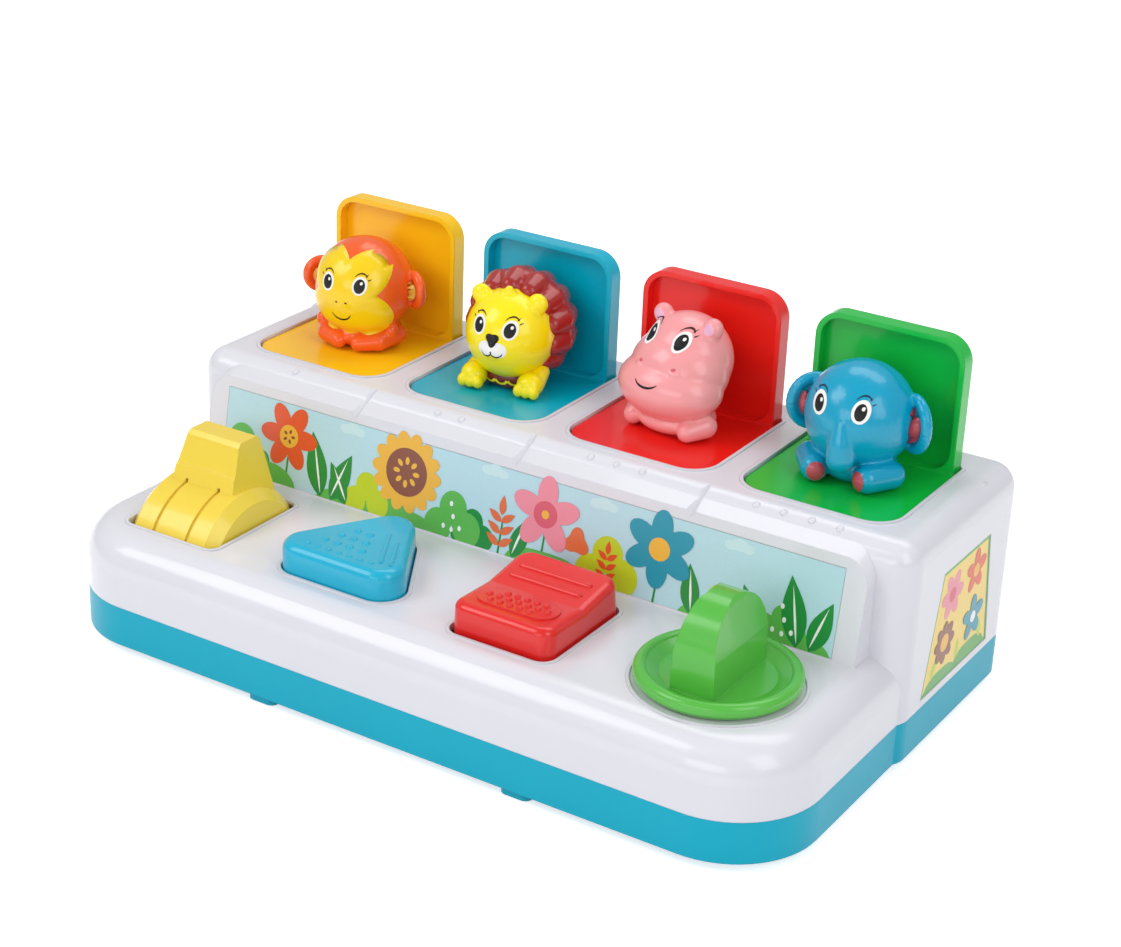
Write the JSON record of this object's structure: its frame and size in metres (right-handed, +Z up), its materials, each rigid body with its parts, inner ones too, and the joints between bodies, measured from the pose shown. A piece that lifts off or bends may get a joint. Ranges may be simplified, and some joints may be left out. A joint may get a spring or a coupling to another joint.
{
  "type": "pop up animal toy",
  "caption": "Toddler toy with a two-step housing: a lever, a push button, a rocker and a dial on the front deck each let a sprung door flip open with an animal on it.",
  "frame": {"origin": "centre of the footprint on the surface that the feet stand on", "axes": "+X along the length, to the right as the child sits at the controls; +Y to the back, towards the doors' hinges; +Z up. Rest pose: all four doors open, all four controls released."},
  "size_m": [0.305, 0.182, 0.1352],
  "materials": {
    "upper_shell": "smooth white moulded plastic",
    "base_tray": "smooth teal moulded plastic",
    "front_label": "printed film label",
    "side_label": "printed film label",
    "door_yellow": "smooth moulded plastic",
    "door_teal": "smooth moulded plastic",
    "door_red": "smooth moulded plastic",
    "door_green": "smooth moulded plastic",
    "orange": "smooth moulded plastic",
    "face_yellow": "smooth moulded plastic",
    "mane": "smooth moulded plastic",
    "lion_yellow": "smooth moulded plastic",
    "pink": "smooth moulded plastic",
    "elephant_blue": "smooth moulded plastic",
    "rose": "painted moulded plastic",
    "toggle_yellow": "smooth moulded plastic",
    "button_blue": "smooth moulded plastic",
    "rocker_red": "smooth moulded plastic",
    "dial_green": "smooth moulded plastic",
    "acetal": "natural acetal",
    "steel": "zinc-plated steel"
  },
  "bodies": {
    "base": {"upper_shell": "upper_shell", "base_tray": "base_tray", "case_screws": "steel", "front_label": "front_label", "side_label": "side_label", "hinge_pin_1": "steel", "hinge_pin_2": "steel", "hinge_pin_3": "steel", "hinge_pin_4": "steel", "door_spring_1": "steel", "door_spring_2": "steel", "door_spring_3": "steel", "door_spring_4": "steel", "latch_spring_1": "steel", "latch_spring_2": "steel", "latch_spring_3": "steel", "latch_spring_4": "steel", "toggle_pin": "steel", "rocker_pin": "steel", "button_spring": "steel"},
    "monkey_door": {"door_yellow": "door_yellow", "monkey_body": "orange", "monkey_face": "face_yellow"},
    "lion_door": {"door_teal": "door_teal", "lion_mane": "mane", "lion_head": "lion_yellow", "lion_paws": "lion_yellow"},
    "hippo_door": {"door_red": "door_red", "hippo_body": "pink"},
    "elephant_door": {"door_green": "door_green", "elephant_body": "elephant_blue", "elephant_pads": "rose"},
    "slider_1": {"latch_slider_1": "acetal", "latch_hook_1": "acetal"},
    "slider_2": {"latch_slider_2": "acetal", "latch_hook_2": "acetal"},
    "slider_3": {"latch_slider_3": "acetal", "latch_hook_3": "acetal"},
    "slider_4": {"latch_slider_4": "acetal", "latch_hook_4": "acetal"},
    "toggle": {"toggle_lever": "toggle_yellow"},
    "button": {"triangle_button": "button_blue"},
    "rocker": {"rocker_key": "rocker_red"},
    "dial": {"dial_knob": "dial_green", "dial_cam": "acetal", "dial_screw": "steel"}
  },
  "joints": [
    {"name": "monkey_door_hinge", "type": "hinge", "parent": "base", "child": "monkey_door", "pos_m": [-0.1074, 0.0643, 0.0803], "axis": [1, 0, 0], "range_deg": [0, 90], "stiffness_Nm_per_rad": 0.025, "springref_deg": -57.3, "deforming": ["door_spring_1", "latch_hook_1"]},
    {"name": "lion_door_hinge", "type": "hinge", "parent": "base", "child": "lion_door", "pos_m": [-0.0358, 0.0643, 0.0803], "axis": [1, 0, 0], "range_deg": [0, 90], "stiffness_Nm_per_rad": 0.025, "springref_deg": -57.3, "deforming": ["door_spring_2", "latch_hook_2"]},
    {"name": "hippo_door_hinge", "type": "hinge", "parent": "base", "child": "hippo_door", "pos_m": [0.0358, 0.0643, 0.0803], "axis": [1, 0, 0], "range_deg": [0, 90], "stiffness_Nm_per_rad": 0.025, "springref_deg": -57.3, "deforming": ["door_spring_3", "latch_hook_3"]},
    {"name": "elephant_door_hinge", "type": "hinge", "parent": "base", "child": "elephant_door", "pos_m": [0.1074, 0.0643, 0.0803], "axis": [1, 0, 0], "range_deg": [0, 90], "stiffness_Nm_per_rad": 0.025, "springref_deg": -57.3, "deforming": ["door_spring_4", "latch_hook_4"]},
    {"name": "toggle_swing", "type": "hinge", "parent": "base", "child": "toggle", "pos_m": [-0.1074, -0.05, 0.0295], "axis": [1, 0, 0], "range_deg": [0, 25], "stiffness_Nm_per_rad": 0.0216, "springref_deg": -20.28},
    {"name": "button_press", "type": "slide", "parent": "base", "child": "button", "axis": [0, 0, -1], "range_m": [0, 0.0045], "stiffness_N_per_m": 450, "springref_m": -0.0038, "deforming": ["button_spring"]},
    {"name": "rocker_swing", "type": "hinge", "parent": "base", "child": "rocker", "pos_m": [0.0358, -0.05, 0.0385], "axis": [1, 0, 0], "range_deg": [0, 9], "stiffness_Nm_per_rad": 0.166, "springref_deg": -7.28},
    {"name": "dial_turn", "type": "hinge", "parent": "base", "child": "dial", "pos_m": [0.1074, -0.05, 0.0445], "axis": [0, 0, 1], "range_deg": [0, 90], "stiffness_Nm_per_rad": 0.00166, "springref_deg": -72.77},
    {"name": "latch_slide_1", "type": "slide", "parent": "base", "child": "slider_1", "axis": [0, 1, 0], "range_m": [0, 0.0037], "deforming": ["latch_spring_1"]},
    {"name": "latch_slide_2", "type": "slide", "parent": "base", "child": "slider_2", "axis": [0, 1, 0], "range_m": [0, 0.0037], "deforming": ["latch_spring_2"]},
    {"name": "latch_slide_3", "type": "slide", "parent": "base", "child": "slider_3", "axis": [0, 1, 0], "range_m": [0, 0.0037], "deforming": ["latch_spring_3"]},
    {"name": "latch_slide_4", "type": "slide", "parent": "base", "child": "slider_4", "axis": [0, 1, 0], "range_m": [0, 0.0037], "deforming": ["latch_spring_4"]}
  ],
  "couplings": [
    {"joint": "latch_slide_1", "follows": "toggle_swing", "m_per_rad": 0.008479},
    {"joint": "latch_slide_2", "follows": "button_press", "ratio": 0.8222},
    {"joint": "latch_slide_3", "follows": "rocker_swing", "m_per_rad": 0.02355},
    {"joint": "latch_slide_4", "follows": "dial_turn", "m_per_rad": 0.002355}
  ]
}
